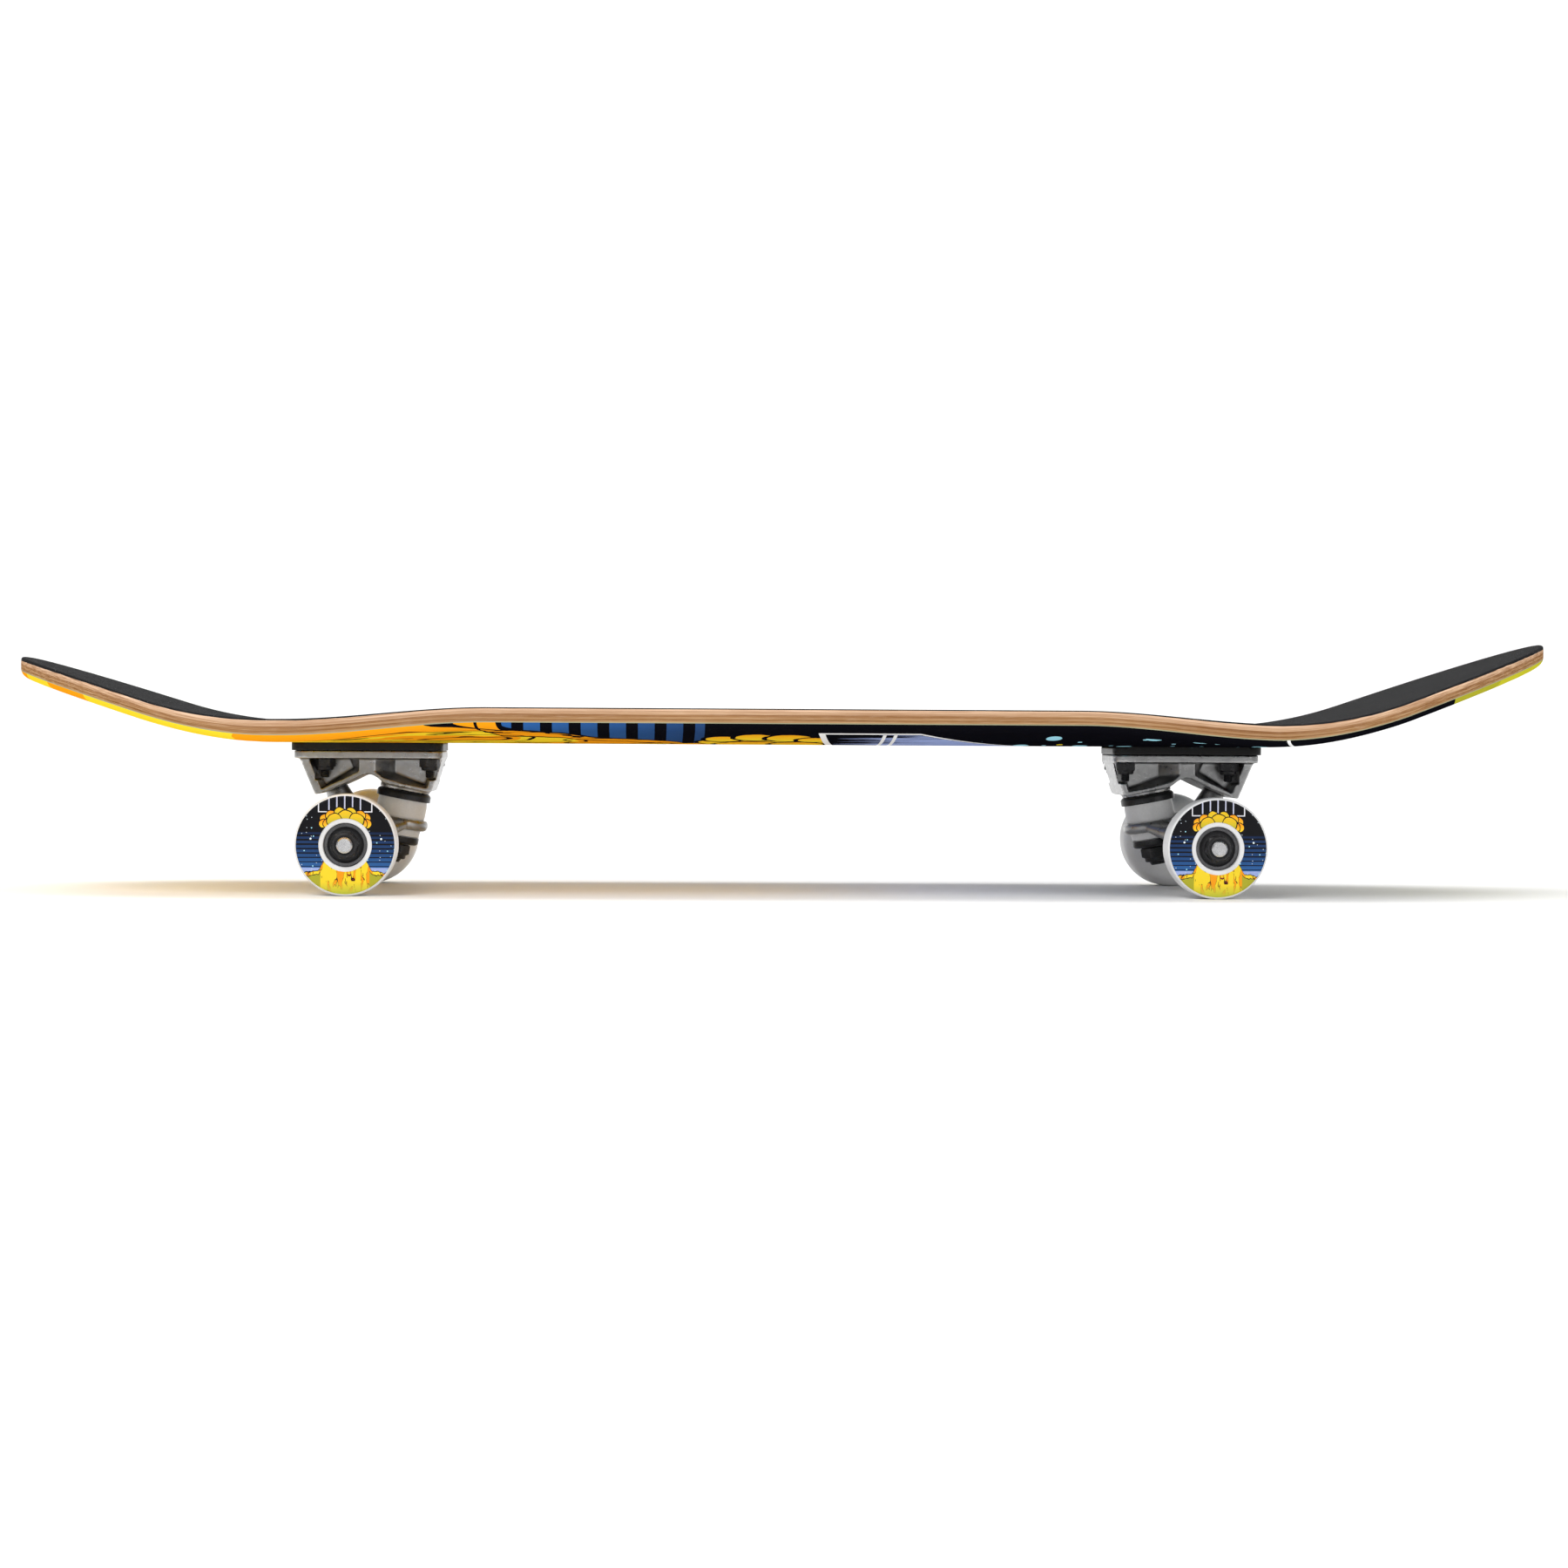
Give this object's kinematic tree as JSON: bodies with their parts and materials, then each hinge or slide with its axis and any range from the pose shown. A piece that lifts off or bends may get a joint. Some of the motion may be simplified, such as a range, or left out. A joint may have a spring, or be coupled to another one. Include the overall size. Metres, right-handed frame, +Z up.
{
  "type": "skateboard",
  "caption": "Street skateboard: concave maple deck with two upturned ends, sprung cast trucks that steer, and ball-bearing urethane wheels.",
  "frame": {"origin": "on the ground, under the middle of the deck", "axes": "+X to the nose, +Y to the far rail, +Z up"},
  "size_m": [0.7966, 0.2, 0.1315],
  "materials": {
    "maple": "seven maple plies with a printed underside",
    "grip": "black silicon carbide grit sheet",
    "hardware_black": "black oxide steel",
    "riser_black": "moulded black plastic",
    "cast_aluminium": "tumbled raw casting",
    "cup_black": "soft moulded cup",
    "bushing_white": "cast urethane",
    "axle_steel": "turned steel",
    "bearing_steel": "ground bearing steel",
    "cage": "moulded nylon",
    "shield_black": "black rubber shield",
    "wheel_white": "cast urethane with a printed outer face"
  },
  "bodies": {
    "board": {"deck": "maple", "grip_tape": "grip", "mounting_bolts": "hardware_black", "mounting_nuts": "hardware_black", "rear_riser_pad": "riser_black", "rear_baseplate": "cast_aluminium", "rear_pivot_cup": "cup_black", "rear_kingpin": "hardware_black", "rear_kingpin_nut": "hardware_black", "rear_top_washer": "hardware_black", "rear_boardside_bushing": "bushing_white", "rear_roadside_bushing": "bushing_white", "rear_bottom_washer": "hardware_black", "front_riser_pad": "riser_black", "front_baseplate": "cast_aluminium", "front_pivot_cup": "cup_black", "front_kingpin": "hardware_black", "front_kingpin_nut": "hardware_black", "front_top_washer": "hardware_black", "front_boardside_bushing": "bushing_white", "front_roadside_bushing": "bushing_white", "front_bottom_washer": "hardware_black"},
    "rear_hanger": {"rear_hanger": "cast_aluminium", "rear_axle": "axle_steel", "rear_axle_nuts": "hardware_black", "rear_speed_washers": "axle_steel", "rear_inner_races": "bearing_steel", "rear_bearing_spacers": "axle_steel"},
    "front_hanger": {"front_hanger": "cast_aluminium", "front_axle": "axle_steel", "front_axle_nuts": "hardware_black", "front_speed_washers": "axle_steel", "front_inner_races": "bearing_steel", "front_bearing_spacers": "axle_steel"},
    "rear_near_wheel": {"rear_near_wheel": "wheel_white", "rear_near_outer_races": "bearing_steel", "rear_near_balls": "bearing_steel", "rear_near_cages": "cage", "rear_near_shields": "shield_black"},
    "rear_far_wheel": {"rear_far_wheel": "wheel_white", "rear_far_outer_races": "bearing_steel", "rear_far_balls": "bearing_steel", "rear_far_cages": "cage", "rear_far_shields": "shield_black"},
    "front_near_wheel": {"front_near_wheel": "wheel_white", "front_near_outer_races": "bearing_steel", "front_near_balls": "bearing_steel", "front_near_cages": "cage", "front_near_shields": "shield_black"},
    "front_far_wheel": {"front_far_wheel": "wheel_white", "front_far_outer_races": "bearing_steel", "front_far_balls": "bearing_steel", "front_far_cages": "cage", "front_far_shields": "shield_black"}
  },
  "joints": [
    {"name": "rear_steer", "type": "hinge", "parent": "board", "child": "rear_hanger", "pos_m": [-0.20422, 0, 0.0354], "axis": [0.8368, 0, -0.5475], "range_deg": [-10, 10], "stiffness_Nm_per_rad": 60, "deforming": ["rear_boardside_bushing", "rear_roadside_bushing"]},
    {"name": "rear_near_spin", "type": "hinge", "parent": "rear_hanger", "child": "rear_near_wheel", "pos_m": [-0.22471, -0.073, 0.0255], "axis": [0, 1, 0], "continuous": true},
    {"name": "rear_far_spin", "type": "hinge", "parent": "rear_hanger", "child": "rear_far_wheel", "pos_m": [-0.22471, 0.073, 0.0255], "axis": [0, 1, 0], "continuous": true},
    {"name": "front_steer", "type": "hinge", "parent": "board", "child": "front_hanger", "pos_m": [0.19232, 0, 0.0354], "axis": [-0.8368, 0, -0.5475], "range_deg": [-10, 10], "stiffness_Nm_per_rad": 60, "deforming": ["front_boardside_bushing", "front_roadside_bushing"]},
    {"name": "front_near_spin", "type": "hinge", "parent": "front_hanger", "child": "front_near_wheel", "pos_m": [0.21282, -0.073, 0.0255], "axis": [0, 1, 0], "continuous": true},
    {"name": "front_far_spin", "type": "hinge", "parent": "front_hanger", "child": "front_far_wheel", "pos_m": [0.21282, 0.073, 0.0255], "axis": [0, 1, 0], "continuous": true}
  ]
}
